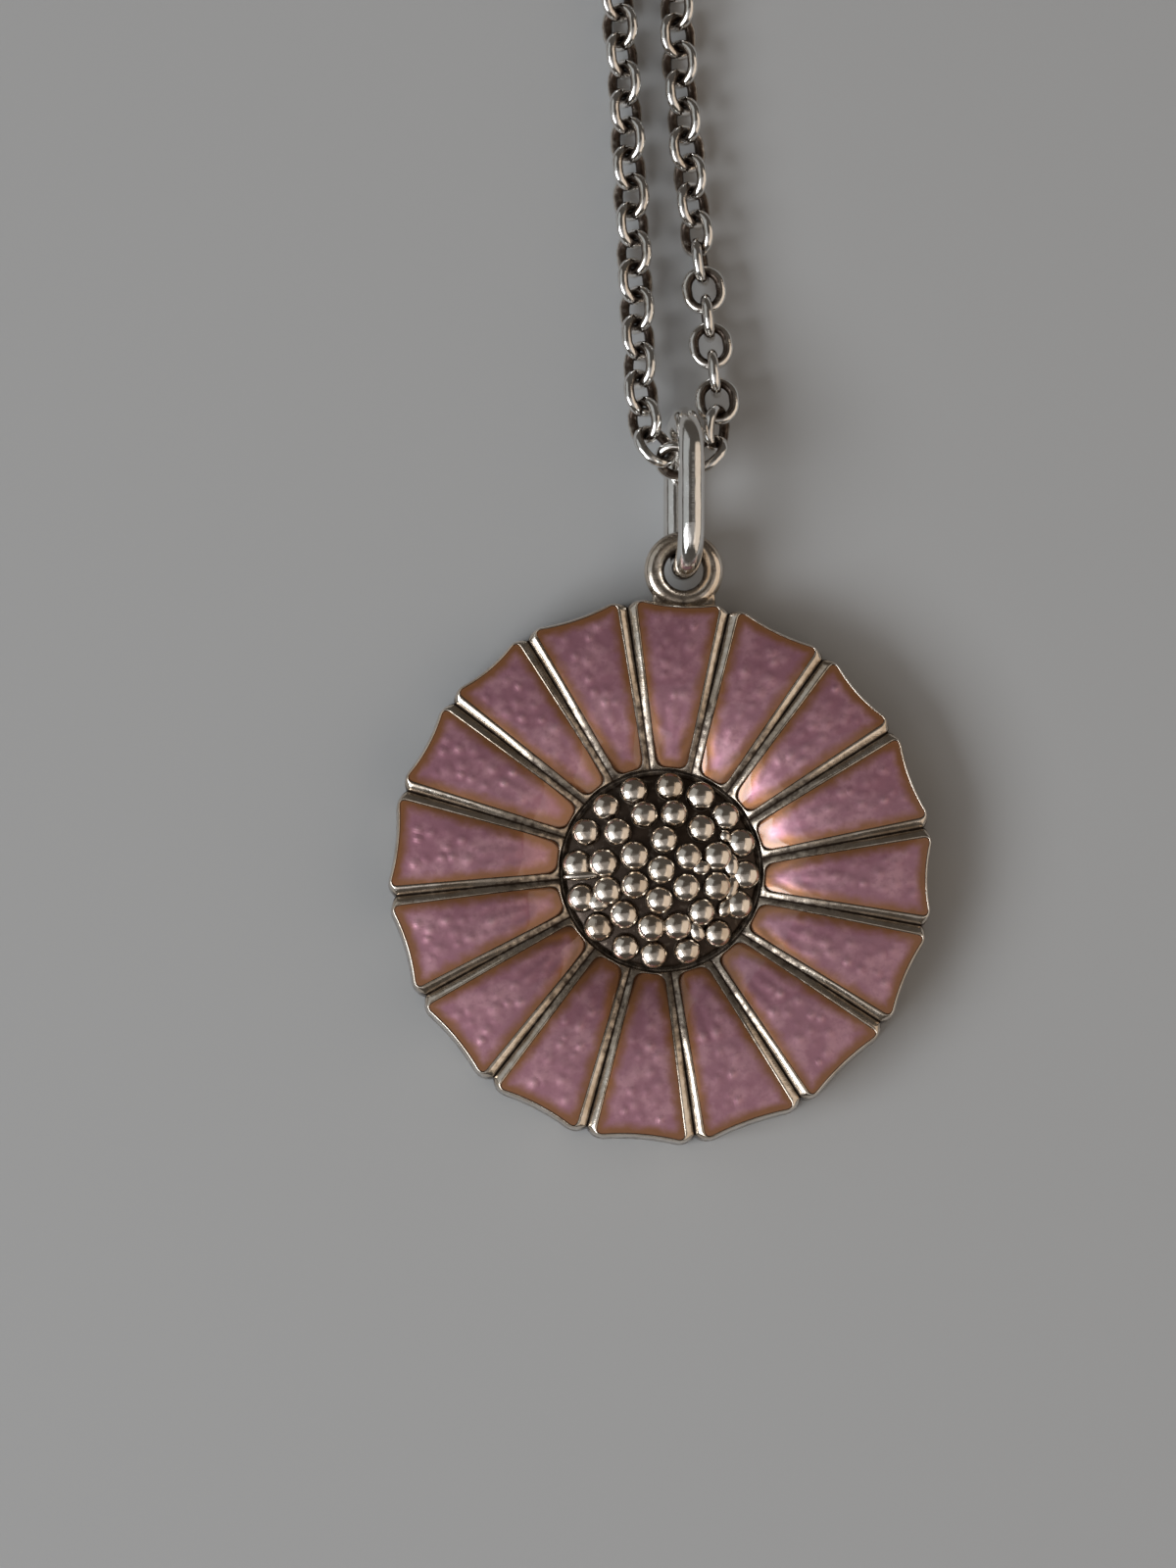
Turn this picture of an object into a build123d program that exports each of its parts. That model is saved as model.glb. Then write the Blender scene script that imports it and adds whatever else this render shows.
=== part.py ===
# Silver necklace: an enamelled daisy pendant on a cable chain, lying flat with its face up.
# Millimetres. Z is up, Y points from the flower to the chain, and the origin is the
# middle of the flower's flat back. A bearing is in degrees clockwise from +Y.

import os
from math import cos, degrees, pi, radians, sin, sqrt

from build123d import *

# Flower
flower_radius = 12.68       # to the corners of the petals
scallop = 0.28              # how far a petal's end dips between its corners
notch_depth = 0.42          # how far the outline steps in between two petals
notch_half_width = 0.45     # from a petal's corner to the line of the groove beside it
corner_radius = 0.42        # rounding of a petal's corners
notch_radius = 0.1
wall_draft = 0.16           # how much the outer wall leans in from back to top
cut_overshoot = 1.0         # how far a cutting shape reaches past the flower

# Arch of the petals, along a radius of the flower
crest_radius = 8.6          # distance of the highest ring from the middle
crest_height = 3.05         # its height above the back
arch_radius = 10.5          # radius of the arch

# Cells and enamel
cell_inner_radius = 4.78    # where a cell starts
rim_width = 0.22            # silver between a cell and the outline of the petal's end
web_half_outer = 0.53       # half the silver between two cells at the outline
web_half_inner = 0.29       # and at the boss
cell_depth = 0.5
cell_round_outer = 0.3
cell_round_inner = 0.52
enamel_gap = 0.02           # between the enamel and the walls and floor of its cell
enamel_drop = 0.05          # the enamel's face below the rims

# Grooves between the petals
groove_depth = 0.55
groove_half_outer = 0.24    # half the groove's width at the rims, at the outline
groove_half_inner = 0.11    # and at the boss
groove_sections = 5

# Boss and its beads
boss_radius = 4.42
boss_edge_height = 2.0
boss_rise = 0.8
moat_width = 0.2            # the dark ring between the boss and the petals
moat_height = 1.75
bead_diameter = 1.22
bead_lift = -0.03           # the middle of a bead above the boss

# Hollow back
plate_thickness = 1.15
back_wall = 0.85            # silver left outside the hollow, at the notches
back_pad_radius = 4.1       # the solid middle under the boss

# Lug
lug_ring_radius = 1.36
lug_wire = 0.78
lug_bearing = 4.4
lug_overlap = 0.3           # how far the lug's ring reaches into the flower's outline
lug_drop = 0.47             # the lug's middle below the bail's
lug_foot_width = 2.9

# Bail
bail_wire = 1.2
bail_length = 8.0
bail_lean = 10.0            # the upper limb leans towards +X
bail_slack = 0.26           # play between the bail's near end and the lug's ring
chain_play = 0.5            # the bail's inner width over the chain's diameter
floor_gap = 0.02

# Chain, clasp and end ring
chain_diameter = 1.9
clasp_wire = 1.1
clasp_ring_radius = 2.7
clasp_eye_radius = 0.85
clasp_eye_wire = 0.6
clasp_nib = 1.5             # diameter of the ball on the clasp's trigger
end_ring_radius = 1.45
end_ring_wire = 0.7
end_ring_lean = 35.0
clasp_reach = 175.5         # from the bail's far bend to the clasp
clasp_shift = -1.0          # the clasp's middle beside the bail's
chain_rise_first = 0.1      # how far a strand is up where it starts to rise to the bail
chain_rise_second = 0.33    # and half way there
joint_gap = 0.1             # between two linked pieces, and at a chain's end

# Bearings of the grooves at the outline and at the boss
GROOVE_BEARINGS = [
    (352.7, 354.0), (14.8, 17.5), (37.5, 40.5), (58.7, 60.5),
    (80.8, 83.0), (102.0, 104.8), (124.8, 128.0), (148.6, 151.0),
    (172.8, 174.5), (196.2, 197.5), (219.0, 220.5), (242.0, 243.0),
    (264.4, 265.0), (287.4, 289.0), (308.9, 311.0), (329.9, 332.0),
]

# Rings of beads: distance from the middle as a share of the boss radius, and bearings
BEAD_RINGS = [
    (0.0, (0,)),
    (0.31, (5, 64, 125, 184, 240, 298)),
    (0.595, (13, 44, 76, 106, 136, 164, 190, 220, 249, 277, 311, 343)),
    (0.873, (7, 28, 52, 71, 93, 114, 138, 162, 185, 205, 227, 250, 274, 298, 319, 342)),
]


def polar(radius, bearing):
    """A point at a distance and a bearing from the middle of the flower."""
    return (radius * sin(radians(bearing)), radius * cos(radians(bearing)))


def arch_height(radius, drop=0.0):
    """Height of the petals' arch, or of the arch that lies a drop below it."""
    middle = crest_height - arch_radius
    return middle + sqrt((arch_radius - drop) ** 2 - (radius - crest_radius) ** 2)


def petals():
    """Each petal's two grooves, with bearings that rise from the first to the second."""
    following = GROOVE_BEARINGS[1:] + GROOVE_BEARINGS[:1]
    for first, second in zip(GROOVE_BEARINGS, following):
        outer, inner = second
        yield first, (first[0] + (outer - first[0]) % 360, first[1] + (inner - first[1]) % 360)


def flower_outline(reach):
    """The whole flower seen from above, with its petals' corners at a given radius."""
    step = degrees(notch_half_width / reach)
    notch = reach - notch_depth
    with BuildSketch(mode=Mode.PRIVATE) as outline:
        with BuildLine():
            for (bearing_a, _), (bearing_b, _) in petals():
                corner_a = polar(reach, bearing_a + step)
                corner_b = polar(reach, bearing_b - step)
                dip = polar(reach - scallop, (bearing_a + bearing_b) / 2)
                Line(polar(notch, bearing_a), corner_a)
                ThreePointArc(corner_a, dip, corner_b)
                Line(corner_b, polar(notch, bearing_b))
        make_face()
        points = outline.vertices().sort_by_distance((0, 0, 0))
        fillet(points[len(GROOVE_BEARINGS):], corner_radius)
        points = outline.vertices().sort_by_distance((0, 0, 0))
        fillet(points[:len(GROOVE_BEARINGS)], notch_radius)
    return outline.sketch


def cell_outline(petal, gap=0.0):
    """One petal's cell seen from above, or what fits in it with a gap all round."""
    (outer_a, inner_a), (outer_b, inner_b) = petal
    outer = flower_radius - wall_draft - rim_width - gap
    inner = cell_inner_radius + gap
    step_outer = degrees((web_half_outer + gap) / outer)
    step_inner = degrees((web_half_inner + gap) / inner)
    with BuildSketch(mode=Mode.PRIVATE) as outline:
        with BuildLine():
            root_a = polar(inner, inner_a + step_inner)
            root_b = polar(inner, inner_b - step_inner)
            tip_a = polar(outer, outer_a + step_outer)
            tip_b = polar(outer, outer_b - step_outer)
            Line(root_a, tip_a)
            ThreePointArc(tip_a, polar(outer - scallop, (outer_a + outer_b) / 2), tip_b)
            Line(tip_b, root_b)
            Line(root_b, root_a)
        make_face()
        fillet(outline.vertices().sort_by_distance((0, 0, 0))[2:], cell_round_outer - gap)
        fillet(outline.vertices().sort_by_distance((0, 0, 0))[:2], cell_round_inner - gap)
    return outline.sketch


def arch_band(inner, outer, drop, top_drop=None):
    """Ring between two arches, or from one arch up past the flower, seen in the XZ plane."""
    with BuildSketch(Plane.XZ, mode=Mode.PRIVATE) as band:
        with BuildLine():
            low_inner = (inner, arch_height(inner, drop))
            low_outer = (outer, arch_height(outer, drop))
            ThreePointArc(low_inner, (crest_radius, arch_height(crest_radius, drop)), low_outer)
            if top_drop is None:
                high = crest_height + cut_overshoot
                Polyline(low_outer, (outer, high), (inner, high), low_inner)
            else:
                high_inner = (inner, arch_height(inner, top_drop))
                high_outer = (outer, arch_height(outer, top_drop))
                Line(low_outer, high_outer)
                ThreePointArc(high_outer, (crest_radius, crest_height - top_drop), high_inner)
                Line(high_inner, low_inner)
        make_face()
    return band.sketch


def groove_section(groove, share):
    """The V of a groove at a share of the way from the boss to past the outline."""
    start = Vector(*polar(boss_radius - moat_width / 2, groove[1]))
    end = Vector(*polar(flower_radius + cut_overshoot, groove[0]))
    line = end - start
    place = start + line * share
    across = Vector(-line.Y, line.X, 0).normalized()
    half_width = groove_half_inner + (groove_half_outer - groove_half_inner) * share
    floor = arch_height(place.length, groove_depth)
    top = crest_height + cut_overshoot
    reach = half_width * (top - floor) / groove_depth
    with BuildSketch(Plane(origin=place, x_dir=across, z_dir=line), mode=Mode.PRIVATE) as section:
        with BuildLine():
            Polyline((0, floor), (reach, top), (-reach, top), close=True)
        make_face()
    return section.sketch


def boss_ball_radius():
    """Radius of the ball that the boss's dome is a part of."""
    return (boss_radius ** 2 + boss_rise ** 2) / (2 * boss_rise)


def bead_places():
    """The middles of the beads, ring by ring."""
    ball = boss_ball_radius()
    ball_middle = boss_edge_height + boss_rise - ball
    for share, bearings in BEAD_RINGS:
        distance = share * boss_radius
        height = ball_middle + sqrt(ball ** 2 - distance ** 2) + bead_lift
        for bearing in bearings:
            yield (*polar(distance, bearing), height)


# Places that the pieces share: the bail's height gives the lug's, and its bends the chain's
bail_gap = chain_diameter + chain_play
bail_limb_radius = (bail_gap + bail_wire) / 2
bail_height = bail_limb_radius * cos(radians(bail_lean)) + bail_wire / 2 + floor_gap
bail_straight = bail_length - bail_wire - 2 * bail_limb_radius
lug_distance = flower_radius - scallop + lug_ring_radius + lug_wire / 2 - lug_overlap
lug_middle = Vector(*polar(lug_distance, lug_bearing), bail_height - lug_drop)
bail_near_end = lug_middle.Y + lug_ring_radius - lug_wire / 2 - bail_slack - bail_wire
far_bend = Vector(lug_middle.X, bail_near_end + bail_length - bail_wire / 2 - bail_limb_radius, 0)
end_ring_height = end_ring_radius * cos(radians(end_ring_lean)) + end_ring_wire / 2 + floor_gap
clasp_middle = far_bend + Vector(clasp_shift, clasp_reach, end_ring_height)

# Cells, cut from the flower as one pattern
with BuildPart() as cells:
    with BuildSketch():
        for petal in petals():
            add(cell_outline(petal))
    extrude(amount=crest_height + cut_overshoot)
    add(arch_band(boss_radius, flower_radius, cell_depth))
    revolve(axis=Axis.Z, mode=Mode.INTERSECT)

# Grooves between the petals
with BuildPart() as grooves:
    for groove in GROOVE_BEARINGS:
        for number in range(groove_sections):
            add(groove_section(groove, number / (groove_sections - 1)))
        loft(ruled=True)

# Flower: scalloped wall, arched top with a domed boss, hollow back, beads and lug
with BuildPart() as daisy_body:
    with BuildSketch():
        add(flower_outline(flower_radius))
    with BuildSketch(Plane.XY.offset(crest_height)):
        add(flower_outline(flower_radius - wall_draft))
    loft(ruled=True)
    with BuildSketch(Plane.XZ) as top_profile:
        with BuildLine():
            root = boss_radius + moat_width
            edge = flower_radius + cut_overshoot
            boss_edge = (boss_radius, boss_edge_height)
            boss_top = (0, boss_edge_height + boss_rise)
            ThreePointArc((root, arch_height(root)), (crest_radius, crest_height), (edge, arch_height(edge)))
            Polyline((edge, arch_height(edge)), (edge, 0), (0, 0), boss_top)
            RadiusArc(boss_top, boss_edge, boss_ball_radius())
            Polyline(boss_edge, (boss_radius, moat_height), (root, moat_height), (root, arch_height(root)))
        make_face()
    revolve(axis=Axis.Z, mode=Mode.INTERSECT)
    with BuildSketch(Plane.XZ):
        hollow_edge = flower_radius - notch_depth - back_wall
        with BuildLine():
            hollow_root = (back_pad_radius, 0)
            hollow_rim = (hollow_edge, 0)
            hollow_inner = (back_pad_radius, arch_height(back_pad_radius, plate_thickness))
            hollow_outer = (hollow_edge, arch_height(hollow_edge, plate_thickness))
            ThreePointArc(hollow_inner, (crest_radius, crest_height - plate_thickness), hollow_outer)
            Polyline(hollow_outer, hollow_rim, hollow_root, hollow_inner)
        make_face()
    revolve(axis=Axis.Z, mode=Mode.SUBTRACT)
    add(grooves.part, mode=Mode.SUBTRACT)
    with Locations(*bead_places()):
        Sphere(bead_diameter / 2)
    with Locations(lug_middle):
        Torus(lug_ring_radius, lug_wire / 2)
    with Locations(lug_middle - Vector(0, lug_ring_radius, 0)):
        Box(lug_foot_width, lug_wire, lug_wire / 2)
    add(cells.part, mode=Mode.SUBTRACT)
daisy_body.part.label = "daisy_body"

# Enamel, one fill in each cell
enamels = []
for number, petal in enumerate(petals(), start=1):
    with BuildPart() as enamel:
        with BuildSketch():
            add(cell_outline(petal, gap=enamel_gap))
        extrude(amount=crest_height + cut_overshoot)
        add(arch_band(boss_radius, flower_radius, cell_depth - enamel_gap, enamel_drop))
        revolve(axis=Axis.Z, mode=Mode.INTERSECT)
    enamel.part.label = f"enamel_{number:02d}"
    enamels.append(enamel.part)

# Bail: an oval ring of round wire, leaning a little, with its near end in the lug
bail_plane = Plane(
    origin=(lug_middle.X, bail_near_end + bail_length / 2, bail_height),
    x_dir=(0, 1, 0),
    z_dir=(cos(radians(bail_lean)), 0, -sin(radians(bail_lean))),
)
with BuildPart() as bail:
    with BuildLine(bail_plane) as bail_path:
        start = (-bail_straight / 2, bail_limb_radius)
        upper = Line(start, (bail_straight / 2, bail_limb_radius))
        far_end = TangentArc(upper @ 1, (bail_straight / 2, -bail_limb_radius), tangent=upper % 1)
        lower = Line(far_end @ 1, (-bail_straight / 2, -bail_limb_radius))
        near_end = TangentArc(lower @ 1, start, tangent=lower % 1)
    with BuildSketch(Plane(origin=upper @ 0, z_dir=upper % 0)):
        Circle(bail_wire / 2)
    sweep(path=bail_path.line)
bail.part.label = "bail"

# Clasp: a bolt ring with its eye and the ball of its trigger, in one piece
eye_x = -(clasp_ring_radius + clasp_wire / 2 + clasp_eye_radius - clasp_eye_wire / 2)
with BuildPart() as clasp:
    with Locations(clasp_middle):
        Torus(clasp_ring_radius, clasp_wire / 2)
    with Locations(Location(clasp_middle + Vector(eye_x, 0, 0), (90, 0, 0))):
        Torus(clasp_eye_radius, clasp_eye_wire / 2)
    with Locations(clasp_middle + Vector(0, clasp_ring_radius + clasp_wire / 2, 0)):
        Sphere(clasp_nib / 2)
clasp.part.label = "clasp"

# End ring, through the clasp's ring
end_ring_x = clasp_ring_radius + end_ring_radius - (clasp_wire + end_ring_wire) / 2 - joint_gap
with BuildPart() as end_ring:
    with Locations(Location(clasp_middle + Vector(end_ring_x, 0, 0), (90 + end_ring_lean, 0, 0))):
        Torus(end_ring_radius, end_ring_wire / 2)
end_ring.part.label = "end_ring"

# Route of the chain's middle line, measured from the bail's far bend: from the clasp's eye
# down the left strand, over the bail's lower limb and up the right strand to the end ring
rest = chain_diameter / 2 + floor_gap
held = bail_height
start_x = clasp_shift + eye_x - clasp_eye_radius - clasp_eye_wire / 2 - joint_gap
stop_x = clasp_shift + end_ring_x + end_ring_radius + end_ring_wire / 2 + joint_gap
CHAIN_ROUTE = [
    (start_x, clasp_reach, clasp_middle.Z),
    (-18.0, clasp_reach - 1.0, rest),
    (-36.0, clasp_reach - 9.5, rest),
    (-49.5, clasp_reach - 26.5, rest),
    (-55.0, 127.0, rest),
    (-52.0, 104.5, rest),
    (-42.5, 84.0, rest),
    (-28.5, 66.5, rest),
    (-14.5, 51.5, rest),
    (-6.6, 38.5, rest),
    (-3.6, 28.0, rest),
    (-2.85, 20.0, rest),
    (-2.4, 12.6, rest + chain_rise_first),
    (-2.1, 6.3, rest + chain_rise_second),
    (-1.8, -0.1, held),
    (1.85, -0.1, held),
    (1.5, 6.3, rest + chain_rise_second),
    (0.65, 12.6, rest + chain_rise_first),
    (-0.15, 20.0, rest),
    (-0.25, 28.0, rest),
    (2.6, 38.5, rest),
    (11.0, 51.5, rest),
    (26.0, 66.0, rest),
    (41.0, 83.0, rest),
    (51.0, 103.5, rest),
    (54.0, 126.5, rest),
    (48.5, clasp_reach - 27.0, rest),
    (35.5, clasp_reach - 10.0, rest),
    (17.0, clasp_reach - 1.0, rest),
    (stop_x, clasp_reach, clasp_middle.Z),
]


def arc_radii(route):
    """Radius of the arc at each inner point: 0.45 of the shorter run, over the half turn's tangent."""
    points = [Vector(*point) for point in route]
    radii = []
    for before, corner, after in zip(points, points[1:], points[2:]):
        run_in, run_out = corner - before, after - corner
        half_turn = radians(run_in.get_angle(run_out)) / 2
        shorter = min(run_in.length, run_out.length)
        radii.append(0.45 * shorter * cos(half_turn) / sin(half_turn))
    return radii


with BuildPart() as chain:
    with BuildLine(Plane(far_bend)) as chain_path:
        FilletPolyline(*CHAIN_ROUTE, radius=arc_radii(CHAIN_ROUTE))
    with BuildSketch(Plane(origin=chain_path.line @ 0, z_dir=chain_path.line % 0)):
        Circle(chain_diameter / 2)
    sweep(path=chain_path.line)
chain.part.label = "chain"

chain_length = chain_path.wires()[0].length
radii = arc_radii(CHAIN_ROUTE)
section = pi * chain_diameter ** 2 / 4
print("chain arc radii:", " ".join(f"{radius:.1f}" for radius in radii))
print("tightest, in diameters:", round(min(radii) / chain_diameter, 2))
print("chain volume over section times length:", round(chain.part.volume / (section * chain_length), 5))
print("whole loop:", round(chain_length + stop_x - start_x, 1))

os.makedirs("parts", exist_ok=True)
for piece in [daisy_body.part, *enamels, bail.part, chain.part, clasp.part, end_ring.part]:
    export_step(piece, f"parts/{piece.label}.step")
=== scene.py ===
"""Silver necklace: an enamelled daisy pendant on a cable chain, lying flat with its face up.

Lengths below are in millimetres and become metres where a mesh is made. Z is up, Y points from
the flower to the chain, and a bearing is in degrees clockwise from +Y.
"""

import random
from math import cos, degrees, pi, radians, sin, sqrt, tan

import bmesh
import bpy
import numpy as np
from mathutils import Matrix, Vector


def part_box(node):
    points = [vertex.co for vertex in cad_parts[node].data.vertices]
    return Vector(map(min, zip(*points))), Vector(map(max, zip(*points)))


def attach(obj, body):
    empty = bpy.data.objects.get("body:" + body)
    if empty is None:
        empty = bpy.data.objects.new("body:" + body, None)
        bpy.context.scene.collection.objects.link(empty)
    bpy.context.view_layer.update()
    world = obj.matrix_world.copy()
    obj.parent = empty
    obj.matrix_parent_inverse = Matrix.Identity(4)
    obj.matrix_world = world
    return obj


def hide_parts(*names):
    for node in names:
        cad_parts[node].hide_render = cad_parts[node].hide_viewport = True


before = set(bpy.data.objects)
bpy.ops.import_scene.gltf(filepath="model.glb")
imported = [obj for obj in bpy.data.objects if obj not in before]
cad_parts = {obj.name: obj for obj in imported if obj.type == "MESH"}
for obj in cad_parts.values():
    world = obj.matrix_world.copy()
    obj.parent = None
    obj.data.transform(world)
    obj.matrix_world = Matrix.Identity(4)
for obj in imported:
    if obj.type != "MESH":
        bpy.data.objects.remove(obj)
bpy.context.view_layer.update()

MM = 0.001
DOUBLES_WITHIN = 2e-6       # metres between points that are joined
SPLINTERS_WITHIN = 1e-6
random.seed(7)

# Flower: sizes of the part's source, and the wear that only shows here
FLOWER_RADIUS = 12.68
SCALLOP = 0.28
NOTCH_DEPTH = 0.42
NOTCH_HALF_WIDTH = 0.45
CORNER_CUT = 0.5
WALL_DRAFT = 0.16
WALL_ROWS = (0.25, 0.5, 0.75, 0.96)     # shares of the way down the outer wall
EDGE_BREAK = 0.05
FACE_SCALLOP = 0.35         # dip of a petal's end at its worn top edge
RIM_OVERHANG = 0.05         # how far the worn rims swell past the drafted wall
OUTER_ARCH_RADIUS = 60.0    # radius of the petals' faces beyond the crest
CREST_RADIUS = 8.6
CREST_HEIGHT = 3.05
ARCH_RADIUS = 10.5
CELL_INNER_RADIUS = 4.78
RIM_WIDTH = 0.19
WEB_HALF_OUTER = 0.46
WEB_HALF_INNER = 0.29
CELL_DEPTH = 0.5
CELL_LIP_DEPTH = 0.3
CELL_CUT_OUTER = 0.36
CELL_CUT_INNER = 0.43
BOSS_RADIUS = 4.42
BOSS_EDGE_HEIGHT = 2.0
BOSS_RISE = 0.8
MOAT_WIDTH = 0.2
MOAT_HEIGHT = 1.75
PLATE_THICKNESS = 1.15
BACK_WALL = 0.85
BACK_PAD_RADIUS = 4.1
BACK_ROWS = 9
SPINE_FROM_ROOT = 0.6       # how far the middle line of a cell's floor stops before its ends
SPINE_FROM_TIP = 1.6
LUG_RING_RADIUS = 1.36
LUG_WIRE = 0.78
LUG_SWELL = 0.16            # solder and wear thicken the lug's wire
LUG_BEARING = 4.4
LUG_OVERLAP = 0.3
LUG_DROP = 0.47
LUG_FOOT_WIDTH = 2.9
LUG_FOOT_LENGTH = LUG_WIRE * 0.9
LUG_FOOT_HEIGHT = LUG_WIRE * 0.72
LUG_FOOT_BEVEL = 0.12
LUG_FOOT_REACH = 0.1        # middle of the foot past the ring's radius, and below the ring
LUG_FOOT_DROP = 0.02
LUG_STEPS = 64
LUG_SIDES = 24
LUG_VOXEL = 0.055
LUG_SOFTENING = 5
BAIL_WIRE = 1.2
CHAIN_DIAMETER = 1.9
CHAIN_PLAY = 0.5
CHAIN_LIFT = 0.02           # the chain's clearance from the floor
CLASP_REACH = 175.5

# Bearings of the grooves at the outline and at the boss
GROOVE_BEARINGS = [
    (352.7, 354.0), (14.8, 17.5), (37.5, 40.5), (58.7, 60.5),
    (80.8, 83.0), (102.0, 104.8), (124.8, 128.0), (148.6, 151.0),
    (172.8, 174.5), (196.2, 197.5), (219.0, 220.5), (242.0, 243.0),
    (264.4, 265.0), (287.4, 289.0), (308.9, 311.0), (329.9, 332.0),
]

# Section of the silver rims. Columns: share of the way from the groove or edge to the enamel,
# and the drop there as a share of the drops below: beside a groove, at a petal's end, at the boss
RIM_SECTION = [
    (0.00, 1.000, 1.000, 1.00),
    (0.03, 0.860, 0.760, 0.80),
    (0.08, 0.740, 0.560, 0.60),
    (0.15, 0.630, 0.390, 0.42),
    (0.24, 0.510, 0.250, 0.28),
    (0.34, 0.385, 0.150, 0.16),
    (0.45, 0.260, 0.080, 0.08),
    (0.57, 0.150, 0.035, 0.04),
    (0.69, 0.065, 0.010, 0.01),
    (0.80, 0.015, 0.000, 0.00),
    (0.90, 0.010, 0.005, 0.02),
    (0.96, 0.060, 0.030, 0.12),
    (1.00, 0.150, 0.080, 0.35),
]
GROOVE_DROP_OUTER = 0.3
GROOVE_DROP_INNER = 0.12
GROOVE_SHALLOW_TO = 6.6
GROOVE_DEEP_FROM = 10.2
EDGE_DROP = 1.1
BOSS_DROP = 0.22
SIDE_POINTS = 44
CORNER_POINTS = 10
END_POINTS = 26
INNER_CORNER_POINTS = 6
INNER_TURN_POINTS = 2 * INNER_CORNER_POINTS - 1
INNER_END_POINTS = 8
END_TRACE = 60              # points that trace a petal's end and corner before they are spaced
CORNER_TRACE = 12
GROOVE_FADE = (0.05, 0.6)   # shares of a corner in which the groove's section fades
MOAT_FADE = (0.5, 0.85)
MOAT_CUT = 0.15
MOAT_ROWS = 5

# Section from the ring round the boss to its dome. Columns: distance from the middle, height
BOSS_SECTION = [
    (BOSS_RADIUS + MOAT_WIDTH, MOAT_HEIGHT),
    (BOSS_RADIUS + MOAT_WIDTH - 0.05, MOAT_HEIGHT - 0.02),
    (BOSS_RADIUS + 0.03, MOAT_HEIGHT),
    (BOSS_RADIUS, BOSS_EDGE_HEIGHT - 0.1),
    (BOSS_RADIUS - 0.03, BOSS_EDGE_HEIGHT - 0.02),
]
DOME_ROWS = (0.97, 0.92, 0.84, 0.75, 0.65, 0.54, 0.42, 0.3, 0.18, 0.08, 0.0)

# Patina and painted shade: from 0 where the silver is rubbed bright to 1 where it is black. Dirt
# blackens the grooves, the boss and the back; painted shade darkens the petals' end edges, the
# outer wall, the lug and the insides of the links.
GROOVE_LINE_PATINA = (0.4, 0.6)         # in a groove: anywhere, and more where it is deep
RIM_PATINA = (0.24, 0.34)               # on a rim: anywhere, and more where the groove is shallow
FLANK_PATINA = 0.16
BOSS_RING_FADE = 0.6
# painted shade on the rims at the petals' outer ends
EDGE_SHADE = 0.3
ENAMEL_LINE_PATINA = 0.45
# painted shade: how dark the outer wall is kept, down to the floor
WALL_SHADE = 0.7
BACK_PATINA = (0.25, 0.5)               # on the back: anywhere, and more in its hollow
MOAT_PATINA = 0.72
DOME_PATINA = 0.97
BEAD_DARK_TO = 0.4
SOLDER_DARK_TO = 0.1
BALL_FADE = (0.3, 0.25)
LUG_PATINA = 0.12
# painted shade on the lug: a shadow line along its seam with dirt in the joint, shade in its hole
# and on its side towards the chain
LUG_SEAM_SHADE_AND_DIRT = 0.55
LUG_HOLE_SHADE = 0.7
LUG_FAR_SHADE = 0.5
# painted shade inside the links' wire, where their holes are, with wear keeping the outsides bright
LINK_SHADE_AND_PATINA = 0.95
LINK_SHADED_TO_WORN = (-0.25, 0.6)                # from the inside of a link's wire to its worn outside

# Rings of beads: distance from the middle as a share of the boss radius, and bearings
BEAD_RINGS = [
    (0.0, (0,)),
    (0.31, (5, 64, 125, 184, 240, 298)),
    (0.595, (13, 44, 76, 106, 136, 164, 190, 220, 249, 277, 311, 343)),
    (0.868, (6, 28, 50, 71, 93, 114, 138, 162, 185, 205, 228, 251, 274, 297, 319, 341)),
]
BEAD_RADIUS = 0.69
BEAD_HALF_HEIGHT = 0.52
BEAD_LIFT = 0.05
BEAD_SIZES = (0.95, 1.03)
BEAD_HEIGHTS = (0.94, 1.05)
BEAD_ROUNDNESS = (0.97, 1.03)

# Solder that ran between the beads. Columns: bearing, distance from the middle, half lengths
# outward and across
SOLDER_SPOTS = [
    (87, 1.80, 0.42, 0.34), (86, 3.20, 0.36, 0.55), (104, 3.28, 0.34, 0.55),
    (120, 3.40, 0.36, 0.50), (150, 3.22, 0.50, 0.34), (266, 3.55, 0.95, 0.22),
    (243, 3.15, 0.55, 0.45), (62, 3.30, 0.28, 0.30),
]
SOLDER_HALF_HEIGHT = 0.24
SOLDER_LIFT = 0.18

# Enamel
ENAMEL_GAP = 0.01
ENAMEL_EDGE_DROP = 0.05
ENAMEL_CROWN = 0.08
ENAMEL_CROWN_REACH = 0.34
ENAMEL_END_REACH = 2.6
ENAMEL_DEPTH = 0.46
ENAMEL_SHARP_ANGLE = 50
ENAMEL_SINK = 0.14          # how far the fill has sunk at its inner end
ENAMEL_SINK_REACH = 2.0
ENAMEL_ACROSS = 36
ENAMEL_ALONG = 92

# Stamped nubs under the enamel. Columns: distance from the petal's outer end, places across as
# shares of the half width, and radius
NUB_ROWS = [
    (0.95, (-0.55, 0.1, 0.45), 0.19),
    (1.55, (-0.35, 0.3), 0.2),
    (2.20, (-0.45, -0.05, 0.45), 0.2),
    (2.85, (-0.3, 0.25), 0.2),
    (3.50, (-0.4, 0.2), 0.2),
    (4.20, (-0.1, 0.45), 0.2),
    (4.90, (-0.25,), 0.2),
]
NUB_FIELD = ((0, 7.3), (1.75, 0.65))    # distances from the outer end, and half widths there
NUB_SHIFT_ACROSS = 0.13
NUB_SHIFT_ALONG = 0.22
NUB_SIZES = (0.8, 1.25)
NUB_STRENGTHS = (0.3, 1.0)
NUB_SHORTENING = 0.9
BENT_LINES = 1.7                        # how many lines bend round a petal's inner end
BENT_LINE_STRETCH = 1.7
BENT_LINES_FROM = 5.4
BENT_LINE_HEIGHT = 0.32
BENT_LINE_FADE = (3.2, 4.8)

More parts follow.
